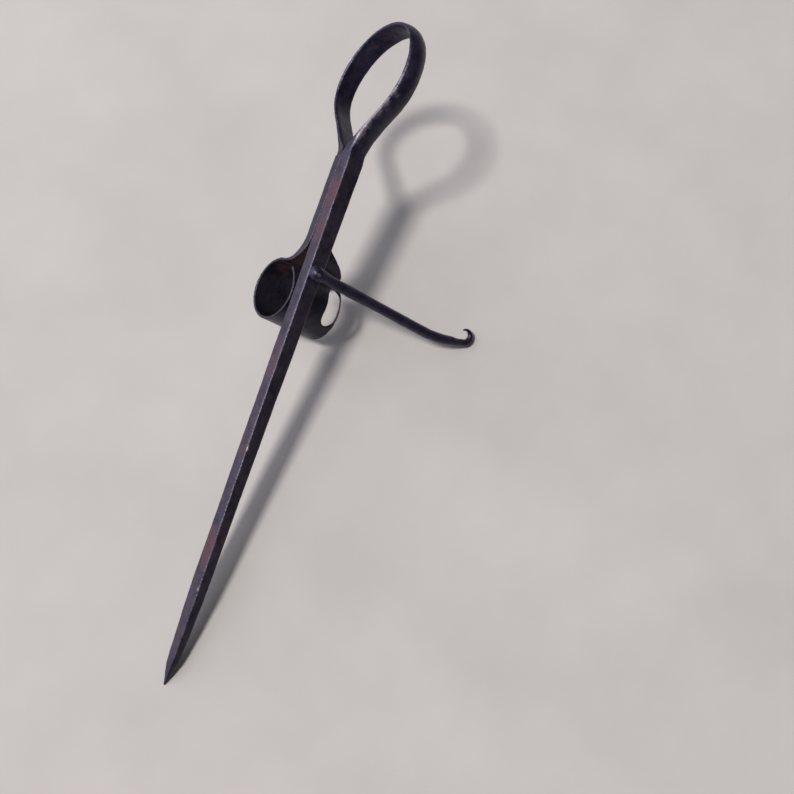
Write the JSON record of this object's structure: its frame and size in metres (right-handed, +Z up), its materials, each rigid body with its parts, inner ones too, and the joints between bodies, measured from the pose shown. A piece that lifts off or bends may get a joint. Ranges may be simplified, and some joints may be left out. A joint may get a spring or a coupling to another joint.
{
  "type": "candle holder",
  "caption": "Hand-forged iron candle holder: a long spike to drive into timber, a curled spring thimble for the candle, a side hook and a loop handle.",
  "frame": {"origin": "the candle's axis at the mouth of the thimble", "axes": "as it lies on a flat floor on three points, which are the tip of the spike, the end of the hook and the foot of the thimble: +Z is up, +X runs along the floor from the tip of the spike towards the loop handle, and +Y is the thimble's side"},
  "size_m": [0.225, 0.0802, 0.0631],
  "materials": {
    "iron_worn": "hammered iron, dark patina worn to brown on the corners",
    "iron_dark": "forged iron, blue-black patina",
    "iron_rust": "thin forged iron leaf, blue-black with red-brown rust inside"
  },
  "bodies": {
    "root": {"spike_bar": "iron_worn", "loop_handle": "iron_dark", "candle_thimble": "iron_rust", "side_hook": "iron_dark"}
  },
  "joints": []
}
